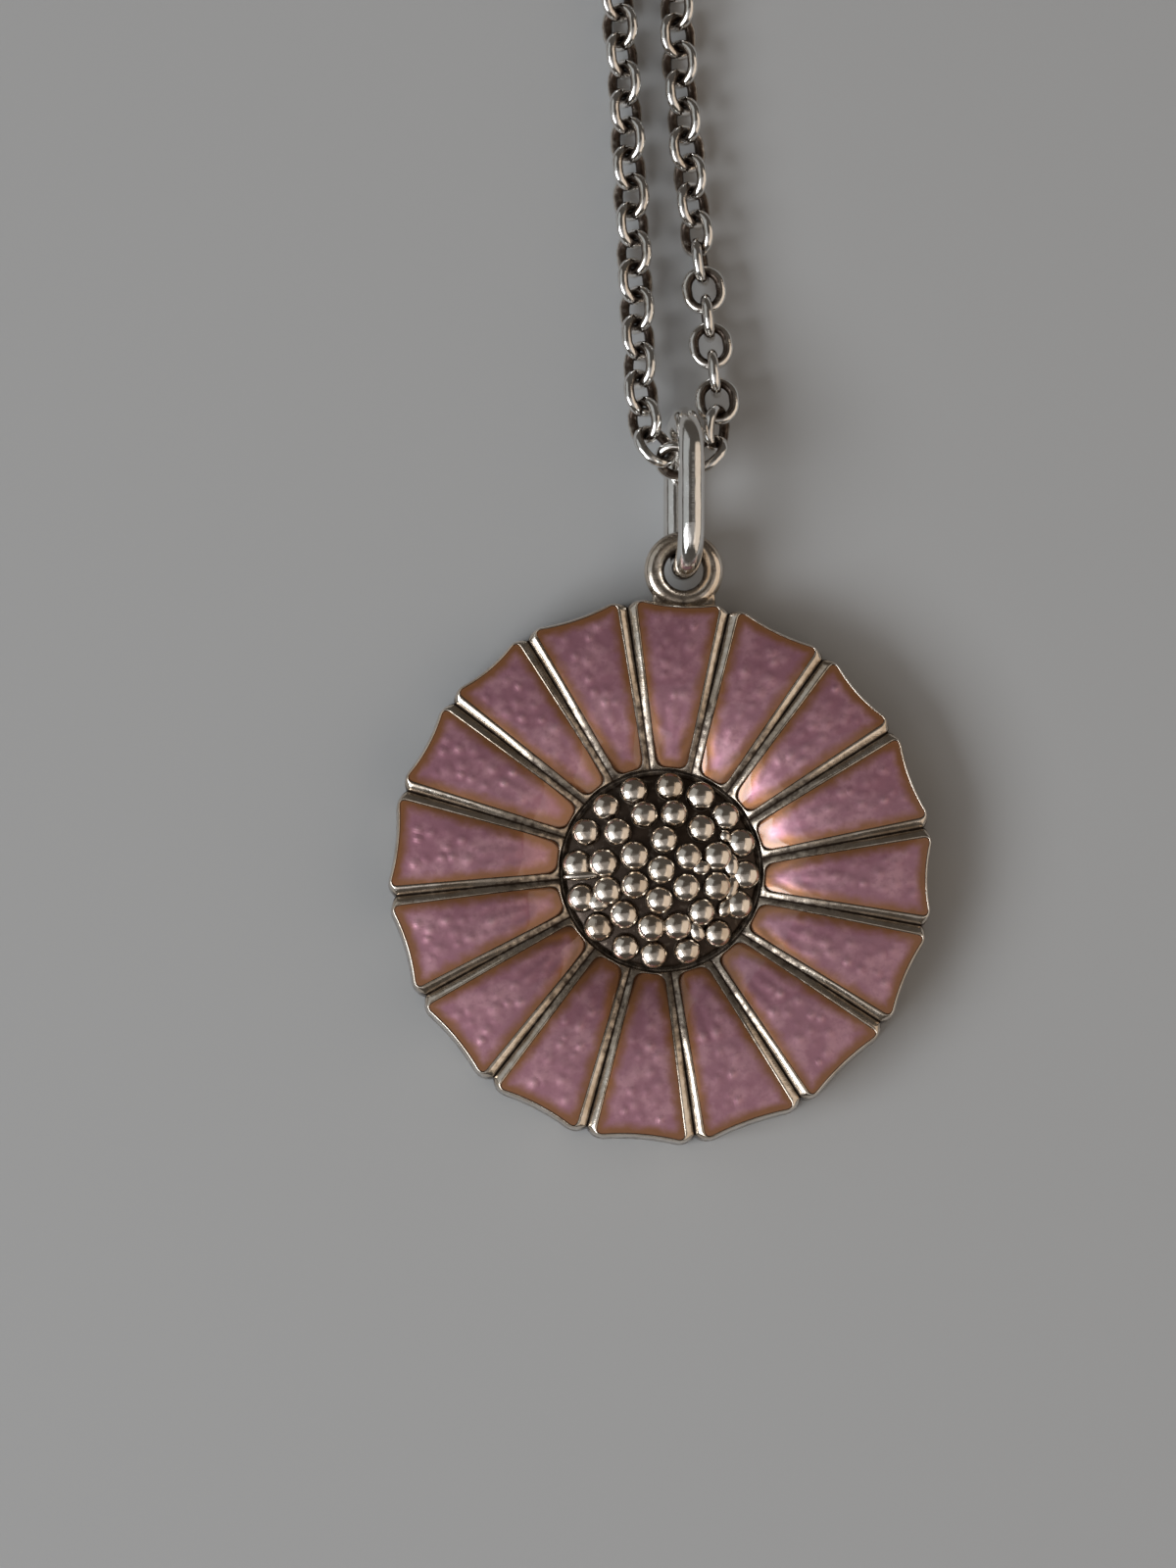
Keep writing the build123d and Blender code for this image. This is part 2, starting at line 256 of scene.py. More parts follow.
# Chain
LINK_LENGTH = 2.32
LINK_WIDTH = 2.08
LINK_WIRE = 0.49
LINK_STEPS = 28
LINK_SIDES = 10
LINK_TURN = 45              # degrees that the links of a strand are turned about it
LINK_SWAY = 5               # degrees that a link may turn from its even place
ROUTE_STEPS = 24            # points of the route's curve for each of its stretches
LAST_LINK_INSET = 0.12      # the last link's middle before the end of the route
END_TWIST_REACH = 14.0      # from an end to where the links lie at 45 degrees
FIRST_RING = 2.65           # the first face-on link beyond the bail's far bend
FACE_ON_FROM = -1.9         # stretch from that link in which every second link lies flat
FACE_ON_TO = 6.2
FACE_ON_TURN = 1.3

# Camera: millimetres seen over the photo's height, and the point at the photo's middle
VIEW_HEIGHT = 71.7
VIEW_POINT = (-3.34, 3.95, 2.5)
VIEW_DISTANCE = 205.0
VIEW_TILT = 3.75
SENSOR = 36.0

# Stage: lengths in metres, colours linear
FLOOR_SIZE = 0.9
FLOOR_MIDDLE = 0.08
FLOOR_COLOUR = (0.445, 0.443, 0.44, 1)
FLOOR_ROUGHNESS = 0.8
ROOM_COLOUR = (1.0, 0.9, 0.8, 1)
ROOM_STRENGTH = 0.07

# Soft lights. Columns: name, bearing and elevation as seen from the flower, distance in metres,
# angles that it spans across and up, brightness, colour
SOFTBOXES = [
    ("window", 242, 36, 0.70, (40, 26), 6.6, (0.90, 0.95, 1.0)),
    ("cool_wall", 292, 38, 0.80, (60, 50), 0.34, (0.91, 0.97, 1.0)),
    ("warm_wall", 100, 33, 0.80, (72, 54), 0.66, (1.0, 0.86, 0.72)),
    ("sky", 232, 60, 0.65, (46, 20), 0.55, (0.95, 0.96, 1.0)),
    ("ceiling", 168, 70, 0.60, (58, 48), 0.22, (1.0, 0.97, 0.96)),
]

# Metal and enamel, in linear colour
SILVER = (0.86, 0.84, 0.81, 1)
WARM_SILVER = (0.84, 0.76, 0.67, 1)
TARNISH = (0.52, 0.41, 0.30, 1)
OXIDE = (0.045, 0.028, 0.018, 1)
ENAMEL_PINK = (0.70, 0.37, 0.43, 1)
ENAMEL_MAUVE = (0.42, 0.18, 0.24, 1)
# painted highlight colour for the tops of the nubs
ENAMEL_NUB_HIGHLIGHT = (0.80, 0.51, 0.55, 1)
ENAMEL_AMBER = (0.34, 0.14, 0.055, 1)
ENAMEL_BUMP = 0.044
SILVER_BUMP = 0.03


# Small geometry


def polar(radius, bearing):
    """A point at a distance and a bearing from the middle of the flower."""
    return np.array((radius * sin(radians(bearing)), radius * cos(radians(bearing))))


def arch_height(radius, drop=0.0):
    """Height of the petals' arch, or of the arch that lies a drop below it."""
    middle = CREST_HEIGHT - ARCH_RADIUS
    return middle + np.sqrt((ARCH_RADIUS - drop) ** 2 - (radius - CREST_RADIUS) ** 2)


def face_height(radius):
    """Height of the petals' faces: the arch, flatter beyond its crest."""
    middle = CREST_HEIGHT - OUTER_ARCH_RADIUS
    outer = middle + np.sqrt(OUTER_ARCH_RADIUS ** 2 - (radius - CREST_RADIUS) ** 2)
    return np.where(radius > CREST_RADIUS, outer, arch_height(radius))


def line(start, end, count):
    """Points evenly along a straight run."""
    return start + (end - start) * np.linspace(0, 1, count)[:, None]


def bend(start, corner, end, count):
    """A rounded corner between two points."""
    share = np.linspace(0, 1, count)[:, None]
    return (1 - share) ** 2 * start + 2 * share * (1 - share) * corner + share ** 2 * end


def towards(start, end, distance):
    """The point at a distance from start on the way to end."""
    run = end - start
    return start + run * distance / np.linalg.norm(run)


def resample(points, count):
    """Points evenly along a polyline."""
    steps = np.linalg.norm(np.diff(points, axis=0), axis=1)
    along = np.concatenate(([0], np.cumsum(steps)))
    wanted = np.linspace(0, along[-1], count)
    return np.column_stack([np.interp(wanted, along, values) for values in points.T])


def dip_arc(start, middle, end, count):
    """The shallow arc of a petal's end through its lowest point."""
    corner = 2 * middle - (start + end) / 2
    return resample(bend(start, corner, end, 4 * count), count)


def smooth(low, high, value):
    """0 below low, 1 above high and a soft step between."""
    share = np.clip((value - low) / (high - low), 0, 1)
    return share * share * (3 - 2 * share)


def petals():
    """Each petal's two grooves, with bearings that rise from the first to the second."""
    for first, second in zip(GROOVE_BEARINGS, GROOVE_BEARINGS[1:] + GROOVE_BEARINGS[:1]):
        outer = first[0] + (second[0] - first[0]) % 360
        inner = first[1] + (second[1] - first[1]) % 360
        yield first, (outer, inner)


class Shell:
    """Vertices, faces and patina with painted shade of a mesh that is gathered piece by piece."""

    def __init__(self):
        self.points = []
        self.faces = []
        self.patina_and_shade = []

    def add(self, points, faces, patina_and_shade):
        """Points, the faces between them and one value of patina and painted shade for each."""
        start = sum(len(group) for group in self.points)
        self.points.append(np.asarray(points, float))
        self.patina_and_shade.append(np.broadcast_to(np.asarray(patina_and_shade, float), (len(points),)))
        self.faces.extend(tuple(start + index for index in face) for face in faces)

    def add_rows(self, rows, patina_and_shade, closed=False):
        """Rows of points of one length, joined to each other by quads."""
        rows = np.asarray(rows, float)
        count, width = rows.shape[:2]
        faces = []
        for row in range(count - 1):
            for column in range(width if closed else width - 1):
                after = (column + 1) % width
                low, high = row * width, (row + 1) * width
                faces.append((low + column, low + after, high + after, high + column))
        self.add(rows.reshape(-1, 3), faces, np.asarray(patina_and_shade, float).reshape(-1))

    def build(self, name):
        """The mesh object, in metres, with doubled points joined and normals outward."""
        mesh = bpy.data.meshes.new(name)
        mesh.from_pydata((np.concatenate(self.points) * MM).tolist(), [], self.faces)
        values = mesh.attributes.new("patina_and_shade", "FLOAT", "POINT")
        values.data.foreach_set("value", np.concatenate(self.patina_and_shade).astype(np.float32))
        work = bmesh.new()
        work.from_mesh(mesh)
        bmesh.ops.remove_doubles(work, verts=work.verts, dist=DOUBLES_WITHIN)
        bmesh.ops.dissolve_degenerate(work, dist=SPLINTERS_WITHIN, edges=work.edges)
        bmesh.ops.recalc_face_normals(work, faces=work.faces)
        work.to_mesh(mesh)
        work.free()
        mesh.shade_smooth()
        piece = bpy.data.objects.new(name, mesh)
        bpy.context.scene.collection.objects.link(piece)
        return piece


# Places that the frame gives: the bail's height gives the lug's, and its far bend the chain's


bail_low, bail_high = (np.array(corner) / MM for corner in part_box("bail"))
clasp_low, clasp_high = (np.array(corner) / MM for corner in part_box("clasp"))
HELD = (bail_low[2] + bail_high[2]) / 2
LUG_DISTANCE = FLOWER_RADIUS - SCALLOP + LUG_RING_RADIUS + LUG_WIRE / 2 - LUG_OVERLAP
LUG_MIDDLE = (*polar(LUG_DISTANCE, LUG_BEARING), HELD - LUG_DROP)
BAIL_LIMB_RADIUS = (CHAIN_DIAMETER + CHAIN_PLAY + BAIL_WIRE) / 2
FAR_BEND = (LUG_MIDDLE[0], bail_high[1] - BAIL_WIRE / 2 - BAIL_LIMB_RADIUS)
REST = CHAIN_DIAMETER / 2 + CHAIN_LIFT
CLASP_HEIGHT = (clasp_low[2] + clasp_high[2]) / 2

# Route of the chain's middle line, measured from the bail's far bend
CHAIN_POINTS = [
    (-6.05, CLASP_REACH, CLASP_HEIGHT),
    (-18.0, CLASP_REACH - 1.0, REST),
    (-36.0, CLASP_REACH - 9.5, REST),
    (-49.5, CLASP_REACH - 26.5, REST),
    (-55.0, 127.0, REST),
    (-52.0, 104.5, REST),
    (-42.5, 84.0, REST),
    (-28.5, 66.5, REST),
    (-14.5, 51.5, REST),
    (-6.6, 38.5, REST),
    (-3.6, 28.0, REST),
    (-2.85, 20.0, REST),
    (-2.4, 12.6, REST + 0.1),
    (-2.1, 6.3, REST + 0.33),
    (-1.8, -0.1, HELD),
    (1.85, -0.1, HELD),
    (1.2, 6.3, REST + 0.33),
    (0.4, 12.6, REST + 0.1),
    (-0.3, 20.0, REST),
    (-0.25, 28.0, REST),
    (2.6, 38.5, REST),
    (11.0, 51.5, REST),
    (26.0, 66.0, REST),
    (41.0, 83.0, REST),
    (51.0, 103.5, REST),
    (54.0, 126.5, REST),
    (48.5, CLASP_REACH - 27.0, REST),
    (35.5, CLASP_REACH - 10.0, REST),
    (17.0, CLASP_REACH - 1.0, REST),
    (4.05, CLASP_REACH, CLASP_HEIGHT),
]
CHAIN_ROUTE = [(FAR_BEND[0] + x, FAR_BEND[1] + y, z) for x, y, z in CHAIN_POINTS]


# Flower


def cell_sides(petal, gap=0.0):
    """The four corners of a petal's cell and the lowest point of its outer end."""
    (outer_a, inner_a), (outer_b, inner_b) = petal
    outer = FLOWER_RADIUS - WALL_DRAFT - RIM_WIDTH + RIM_OVERHANG - gap
    inner = CELL_INNER_RADIUS + gap
    step_outer = degrees((WEB_HALF_OUTER + gap) / outer)
    step_inner = degrees((WEB_HALF_INNER + gap) / inner)
    root_a = polar(inner, inner_a + step_inner)
    root_b = polar(inner, inner_b - step_inner)
    tip_a = polar(outer, outer_a + step_outer)
    tip_b = polar(outer, outer_b - step_outer)
    dip = polar(outer - FACE_SCALLOP, (outer_a + outer_b) / 2)
    return root_a, tip_a, dip, tip_b, root_b


def closed_loop(parts):
    """Runs that follow each other, each without its last point, which the next one starts with."""
    return np.concatenate([part[:-1] for part in parts])


def cell_loop(petal, gap=0.0):
    """A petal's cell seen from above, with rounded corners."""
    root_a, tip_a, dip, tip_b, root_b = cell_sides(petal, gap)
    end = dip_arc(tip_a, dip, tip_b, END_TRACE)
    middle = len(end) // 2
    cut_a = towards(tip_a, end[middle // 2], CELL_CUT_OUTER)
    cut_b = towards(tip_b, end[-middle // 2], CELL_CUT_OUTER)
    inner_a = towards(root_a, root_b, CELL_CUT_INNER)
    inner_b = towards(root_b, root_a, CELL_CUT_INNER)
    side_a = (towards(root_a, tip_a, CELL_CUT_INNER), towards(tip_a, root_a, CELL_CUT_OUTER))
    side_b = (towards(tip_b, root_b, CELL_CUT_OUTER), towards(root_b, tip_b, CELL_CUT_INNER))
    return closed_loop([
        line(*side_a, SIDE_POINTS),
        bend(side_a[1], tip_a, cut_a, CORNER_POINTS),
        dip_arc(cut_a, dip, cut_b, END_POINTS),
        bend(cut_b, tip_b, side_b[0], CORNER_POINTS),
        line(*side_b, SIDE_POINTS),
        bend(side_b[1], root_b, inner_b, INNER_TURN_POINTS),
        line(inner_b, inner_a, INNER_END_POINTS),
        bend(inner_a, root_a, side_a[0], INNER_TURN_POINTS),
    ])


def border_loop(petal, reach):
    """A petal's border: groove, outline, groove and the ring round the boss. The second result
    is how much each point belongs to a groove, and the third to the ring round the boss."""
    (outer_a, inner_a), (outer_b, inner_b) = petal
    moat = BOSS_RADIUS + MOAT_WIDTH
    moat_a, moat_b = polar(moat, inner_a), polar(moat, inner_b)
    notch_a, notch_b = polar(reach - NOTCH_DEPTH, outer_a), polar(reach - NOTCH_DEPTH, outer_b)
    step = degrees(NOTCH_HALF_WIDTH / reach)
    corner_a, corner_b = polar(reach, outer_a + step), polar(reach, outer_b - step)
    dip = polar(reach - FACE_SCALLOP, (outer_a + outer_b) / 2)
    end = dip_arc(corner_a, dip, corner_b, END_TRACE)
    cut_a = towards(corner_a, end[len(end) // 4], CORNER_CUT)
    cut_b = towards(corner_b, end[-len(end) // 4], CORNER_CUT)
    back_a = towards(corner_a, notch_a, CORNER_CUT)
    back_b = towards(corner_b, notch_b, CORNER_CUT)
    turn_a = np.concatenate([[notch_a], bend(back_a, corner_a, cut_a, CORNER_TRACE)])
    turn_b = np.concatenate([bend(cut_b, corner_b, back_b, CORNER_TRACE), [notch_b]])
    turn_a, turn_b = resample(turn_a, CORNER_POINTS), resample(turn_b, CORNER_POINTS)
    side_a = (towards(moat_a, notch_a, MOAT_CUT), notch_a)
    side_b = (notch_b, towards(moat_b, notch_b, MOAT_CUT))
    trim = degrees(MOAT_CUT / moat)
    bearings = np.linspace(inner_b - trim, inner_a + trim, INNER_END_POINTS)
    inner_end = np.array([polar(moat, bearing) for bearing in bearings])
    turn_moat_b = np.concatenate([
        line(side_b[1], moat_b, INNER_CORNER_POINTS)[:-1],
        line(moat_b, inner_end[0], INNER_CORNER_POINTS),
    ])
    turn_moat_a = np.concatenate([
        line(inner_end[-1], moat_a, INNER_CORNER_POINTS)[:-1],
        line(moat_a, side_a[0], INNER_CORNER_POINTS),
    ])
    parts = [
        line(*side_a, SIDE_POINTS), turn_a, dip_arc(cut_a, dip, cut_b, END_POINTS), turn_b,
        line(*side_b, SIDE_POINTS), turn_moat_b, inner_end, turn_moat_a,
    ]
    fade = 1 - smooth(*GROOVE_FADE, np.linspace(0, 1, CORNER_POINTS))
    inner_fade = 1 - smooth(*MOAT_FADE, np.linspace(0, 1, INNER_TURN_POINTS))
    groove = [
        np.ones(SIDE_POINTS), fade, np.zeros(END_POINTS), fade[::-1],
        np.ones(SIDE_POINTS), inner_fade, np.zeros(INNER_END_POINTS), inner_fade[::-1],
    ]
    boss = [
        np.zeros(SIDE_POINTS), 0 * fade, np.zeros(END_POINTS), 0 * fade,
        np.zeros(SIDE_POINTS), 1 - inner_fade, np.ones(INNER_END_POINTS), (1 - inner_fade)[::-1],
    ]
    return closed_loop(parts), closed_loop(groove), closed_loop(boss)


def cell_axis(petal):
    """Start, direction and length of the middle line of a petal's cell."""
    root_a, tip_a, _, tip_b, root_b = cell_sides(petal)
    start = (root_a + root_b) / 2
    run = (tip_a + tip_b) / 2 - start
    length = np.linalg.norm(run)
    return start, run / length, length


def spine(petal, loop):
    """For each point of a cell's loop, the point of the petal's middle line beside it."""
    start, axis, length = cell_axis(petal)
    along = np.clip((loop - start) @ axis, SPINE_FROM_ROOT, length - SPINE_FROM_TIP)
    return start + along[:, None] * axis


def rim_patina_and_shade(share, groove, boss, deep):
    """Patina and painted shade round a petal at a share of the way from its border to the enamel.
    """
    line_patina = GROOVE_LINE_PATINA[0] + GROOVE_LINE_PATINA[1] * deep
    in_groove = (1 - smooth(0.0, 0.2, share)) * line_patina
    in_groove = in_groove + RIM_PATINA[0] + RIM_PATINA[1] * (1 - deep)
    in_groove = np.minimum(in_groove + FLANK_PATINA * (1 - smooth(0.3, 0.9, share)), 1)
    at_boss = 1 - BOSS_RING_FADE * smooth(0.0, 0.4, share)
    # painted shade: the rim is darker near the outline at the petals' ends
    at_edge = EDGE_SHADE * (1 - groove - boss) * (1 - smooth(0.3, 0.8, share))
    at_enamel = ENAMEL_LINE_PATINA * smooth(0.84, 1.0, share)
    return groove * in_groove + boss * at_boss + at_edge + at_enamel


def add_petal(shell, petal):
    """One petal's silver: rims with their crowned section, cell, outer wall and back."""
    reach = FLOWER_RADIUS - WALL_DRAFT + RIM_OVERHANG
    border, groove, boss = border_loop(petal, reach)
    cell = cell_loop(petal)
    from_middle = np.hypot(border[:, 0], border[:, 1])
    deep = smooth(GROOVE_SHALLOW_TO, GROOVE_DEEP_FROM, from_middle)
    groove_drop = GROOVE_DROP_INNER + (GROOVE_DROP_OUTER - GROOVE_DROP_INNER) * deep
    rows, patina_and_shade = [], []
    for share, at_groove, at_edge, at_boss in RIM_SECTION:
        place = border + (cell - border) * share
        drop = groove * groove_drop * at_groove + boss * BOSS_DROP * at_boss
        drop += (1 - groove - boss) * EDGE_DROP * at_edge
        radius = np.hypot(place[:, 0], place[:, 1])
        rows.append(np.column_stack([place, face_height(radius) - drop]))
        patina_and_shade.append(rim_patina_and_shade(share, groove, boss, deep))
    middle = spine(petal, cell)
    for share, depth in ((0.02, CELL_LIP_DEPTH), (0.03, CELL_DEPTH), (1.0, CELL_DEPTH)):
        place = cell + (middle - cell) * share
        radius = np.hypot(place[:, 0], place[:, 1])
        rows.append(np.column_stack([place, face_height(radius) - depth]))
        patina_and_shade.append(np.ones(len(cell)))
    shell.add_rows(rows, patina_and_shade, closed=True)

    first = SIDE_POINTS - 1
    last = first + 2 * (CORNER_POINTS - 1) + END_POINTS - 1
    add_wall_and_back(shell, rows[0][first:last + 1], groove[first:last + 1], reach)
    inner = rows[0][last + SIDE_POINTS + INNER_CORNER_POINTS - 2:]
    add_boss_sector(shell, inner[:INNER_TURN_POINTS - 1 + INNER_END_POINTS])


def add_wall_and_back(shell, edge, darkening, reach):
    """The outer wall below a petal's end, and its share of the hollow back. The wall is darkened
    with painted shade.
    """
    # painted shade on the wall, as dark as the grooves where they reach it
    darkening = np.maximum(darkening, WALL_SHADE)
    wall, patina_and_shade = [edge], [darkening]
    for share in WALL_ROWS:
        height = edge[:, 2] * (1 - share)
        scale = (FLOWER_RADIUS - WALL_DRAFT * height / CREST_HEIGHT) / reach
        wall.append(np.column_stack([edge[:, :2] * scale[:, None], height]))
        patina_and_shade.append(darkening)
    foot = edge[:, :2] * (FLOWER_RADIUS - EDGE_BREAK) / reach
    wall.append(np.column_stack([foot, np.zeros(len(foot))]))
    patina_and_shade.append(darkening)
    direction = edge[:, :2] / np.hypot(edge[:, 0], edge[:, 1])[:, None]
    hollow = FLOWER_RADIUS - NOTCH_DEPTH - BACK_WALL
    back = [(hollow + EDGE_BREAK, 0.0), (hollow, EDGE_BREAK)]
    for radius in np.linspace(hollow, BACK_PAD_RADIUS, BACK_ROWS):
        back.append((radius, arch_height(radius, PLATE_THICKNESS)))
    back += [(BACK_PAD_RADIUS, EDGE_BREAK), (BACK_PAD_RADIUS - EDGE_BREAK, 0.0), (0.0, 0.0)]
    for radius, height in back:
        in_hollow = height > 2 * EDGE_BREAK
        wall.append(np.column_stack([direction * radius, np.full(len(edge), height)]))
        patina_and_shade.append(np.full(len(edge), BACK_PATINA[0] + BACK_PATINA[1] * in_hollow))
    shell.add_rows(wall, patina_and_shade)


def boss_ball():
    """Radius and middle height of the ball that the boss's dome is a part of."""
    radius = (BOSS_RADIUS ** 2 + BOSS_RISE ** 2) / (2 * BOSS_RISE)
    return radius, BOSS_EDGE_HEIGHT + BOSS_RISE - radius


def dome_height(distance):
    """Height of the boss's dome at a distance from its middle."""
    ball, middle = boss_ball()
    return middle + sqrt(ball ** 2 - distance ** 2)


def add_boss_sector(shell, inner):
    """The moat and the dome inside one petal's inner end."""
    direction = inner[:, :2] / np.hypot(inner[:, 0], inner[:, 1])[:, None]
    dome = [(BOSS_RADIUS * share, dome_height(BOSS_RADIUS * share)) for share in DOME_ROWS]
    rows = [inner]
    for radius, height in BOSS_SECTION + dome:
        rows.append(np.column_stack([direction * radius, np.full(len(inner), height)]))
    darkening = np.where(np.arange(len(rows)) < MOAT_ROWS, MOAT_PATINA, DOME_PATINA)
    shell.add_rows(rows, np.repeat(darkening[:, None], len(inner), axis=1))


def add_ball(shell, middle, radii, bearing, dark_to, around=24, rings=12):
    """A closed ellipsoid, turned to a bearing and dark up to a share of its height."""
    rows, values = [], []
    out = polar(1.0, bearing)
    across = polar(1.0, bearing + 90)
    circle = np.linspace(0, 2 * pi, around, endpoint=False)
    for ring in range(rings + 1):
        angle = pi * ring / rings
        wide = sin(angle) * np.cos(circle)[:, None] * radii[0] * out
        deep = sin(angle) * np.sin(circle)[:, None] * radii[1] * across
        height = np.full(around, middle[2] + radii[2] * cos(angle))
        rows.append(np.column_stack([np.array(middle[:2]) + wide + deep, height]))
        bright = smooth(dark_to - BALL_FADE[0], dark_to + BALL_FADE[1], cos(angle))
        values.append(np.full(around, 1 - bright))
    shell.add_rows(rows, values, closed=True)


def add_beads(shell):
    """The boss's 35 beads, each a little different in size, and the solder between some."""
    for share, bearings in BEAD_RINGS:
        distance = share * BOSS_RADIUS
        for bearing in bearings:
            size = BEAD_RADIUS * random.uniform(*BEAD_SIZES)
            height = BEAD_HALF_HEIGHT * random.uniform(*BEAD_HEIGHTS)
            place = (*polar(distance, bearing), dome_height(distance) + BEAD_LIFT)
            radii = (size * random.uniform(*BEAD_ROUNDNESS), size, height)
            add_ball(shell, place, radii, bearing, BEAD_DARK_TO)
    for bearing, distance, length, width in SOLDER_SPOTS:
        place = (*polar(distance, bearing), dome_height(distance) + SOLDER_LIFT)
        radii = (length, width, SOLDER_HALF_HEIGHT)
        add_ball(shell, place, radii, bearing, SOLDER_DARK_TO, around=20, rings=8)


def lug_mesh():
    """The lug: a ring on a foot, melted together as solder does."""
    work = bmesh.new()
    middle = Vector(LUG_MIDDLE)
    wire = LUG_WIRE + LUG_SWELL
    rings = []
    for step in range(LUG_STEPS):
        angle = 2 * pi * step / LUG_STEPS
        out = Vector((cos(angle), sin(angle), 0))
        ring = []
        for side in range(LUG_SIDES):
            turn = 2 * pi * side / LUG_SIDES
            reach = LUG_RING_RADIUS + wire / 2 * cos(turn)
            ring.append(work.verts.new(middle + out * reach + Vector((0, 0, wire / 2 * sin(turn)))))
        rings.append(ring)
    for here, there in zip(rings, rings[1:] + rings[:1]):
        for side in range(LUG_SIDES):
            after = (side + 1) % LUG_SIDES
            work.faces.new((here[side], there[side], there[after], here[after]))
    offset = Vector((0, LUG_RING_RADIUS + LUG_FOOT_REACH, LUG_FOOT_DROP))
    foot = Matrix.Translation(middle - offset)
    size = Matrix.Diagonal((LUG_FOOT_WIDTH, LUG_FOOT_LENGTH, LUG_FOOT_HEIGHT, 1))
    made = bmesh.ops.create_cube(work, size=1, matrix=foot @ size)
    edges = list({edge for vert in made["verts"] for edge in vert.link_edges})
    bmesh.ops.bevel(
        work, geom=edges, offset=LUG_FOOT_BEVEL, segments=3, affect="EDGES", profile=0.5)
    mesh = bpy.data.meshes.new("lug_rough")
    work.to_mesh(mesh)
    work.free()
    rough = bpy.data.objects.new("lug_rough", mesh)
    bpy.context.scene.collection.objects.link(rough)
    remesh = rough.modifiers.new("melt", "REMESH")
    remesh.mode = "VOXEL"
    remesh.voxel_size = LUG_VOXEL
    soften = rough.modifiers.new("soften", "SMOOTH")
    soften.factor = 0.5
    soften.iterations = LUG_SOFTENING
    bpy.context.view_layer.update()
    result = rough.evaluated_get(bpy.context.evaluated_depsgraph_get()).to_mesh()
    points = np.array([vert.co for vert in result.vertices])
    faces = [tuple(face.vertices) for face in result.polygons]
    bpy.data.objects.remove(rough)
    return points, faces


def lug_patina_and_shade(points):
    """Painted shade on the lug: a shadow line at its seam to the flower, with dirt in that joint,
    shade inside its hole and on its side towards the chain, over a light patina all over.
    """
    radius = np.hypot(points[:, 0], points[:, 1])
    from_ring = np.hypot(points[:, 0] - LUG_MIDDLE[0], points[:, 1] - LUG_MIDDLE[1])
    # painted shade: the seam's shadow line with dirt in the joint, the hole's shade and the far
    # side's shade
    seam = LUG_SEAM_SHADE_AND_DIRT * (1 - smooth(0.0, 0.3, radius - FLOWER_RADIUS + 0.1))
    hole = LUG_HOLE_SHADE * (1 - smooth(-0.42, -0.1, from_ring - LUG_RING_RADIUS))
    far_side = LUG_FAR_SHADE * smooth(0.3, 1.6, points[:, 1] - LUG_MIDDLE[1])
    return np.clip(seam + hole + far_side + LUG_PATINA, 0, 1)


def make_flower():
    """All of the flower's silver in one piece, with its lug."""
    shell = Shell()
    for petal in petals():
        add_petal(shell, petal)
    add_beads(shell)
    points, faces = lug_mesh()
    shell.add(points, faces, lug_patina_and_shade(points))
    flower = shell.build("flower_silver")
    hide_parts("daisy_body")
    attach(flower, "root")
    flower.data.materials.append(
        silver("flower_silver", 0.75, (0.1, 0.24), metal=WARM_SILVER, patina_and_shade=True))


# Enamel


def stamped_relief(across, from_end, half_width):
    """Height of the stamped nubs and of the lines that bend round the petal's inner end."""
    relief = np.zeros_like(across)
    for distance, places, radius in NUB_ROWS:
        half = float(np.interp(distance, *NUB_FIELD))
        for place in places:
            offset = place * half + random.uniform(-NUB_SHIFT_ACROSS, NUB_SHIFT_ACROSS)
            middle = distance + random.uniform(-NUB_SHIFT_ALONG, NUB_SHIFT_ALONG)
            size = radius * random.uniform(*NUB_SIZES)
            strength = random.uniform(*NUB_STRENGTHS)
            away = np.hypot(across - offset, (from_end - middle) * NUB_SHORTENING) / size
            relief = np.maximum(relief, strength * np.exp(-away ** 2))
    beyond = np.maximum(from_end - BENT_LINES_FROM, 0) / BENT_LINE_STRETCH
    lines = 0.5 + 0.5 * np.cos(2 * pi * BENT_LINES * np.hypot(across / half_width, beyond))
    return relief + BENT_LINE_HEIGHT * lines * smooth(*BENT_LINE_FADE, from_end)


def enamel_grid(petal):
    """Points of a petal's enamel seen from above, in rows from the inner end to the outer one."""
    loop = cell_loop(petal, ENAMEL_GAP)
    corner = CORNER_POINTS - 1
    inner_corner = INNER_TURN_POINTS - 1
    side = SIDE_POINTS - 1
    end = END_POINTS - 1
    inner_end = INNER_END_POINTS - 1
    closed = np.concatenate([loop, loop, loop])
    start_a = len(loop) - inner_corner // 2
    stop_a = len(loop) + side + corner // 2
    stop_end = stop_a + corner + end
    stop_b = stop_end + corner - corner // 2 + side + inner_corner // 2
    stop_inner = stop_b + inner_corner + inner_end
    left = resample(closed[start_a:stop_a + 1], ENAMEL_ALONG)
    top = resample(closed[stop_a:stop_end + 1], ENAMEL_ACROSS)
    right = resample(closed[stop_end:stop_b + 1], ENAMEL_ALONG)[::-1]
    low = resample(closed[stop_b:stop_inner + 1], ENAMEL_ACROSS)[::-1]
    u = np.linspace(0, 1, ENAMEL_ACROSS)[None, :, None]
    v = np.linspace(0, 1, ENAMEL_ALONG)[:, None, None]
    sides = (1 - u) * left[:, None] + u * right[:, None]
    ends = (1 - v) * low[None] + v * top[None]
    corners = (1 - u) * (1 - v) * low[0] + u * (1 - v) * low[-1]
    corners = corners + (1 - u) * v * top[0] + u * v * top[-1]
    return sides + ends - corners, loop


def edge_distance(points, loop):
    """Distance of each point to the closed loop round it."""
    after = np.roll(loop, -1, axis=0)
    run = after - loop
    best = np.full(len(points), 1e9)
    for start, way in zip(loop, run):
        share = np.clip(((points - start) @ way) / max(way @ way, 1e-12), 0, 1)
        away = points - start - share[:, None] * way
        best = np.minimum(best, np.hypot(away[:, 0], away[:, 1]))
    return best


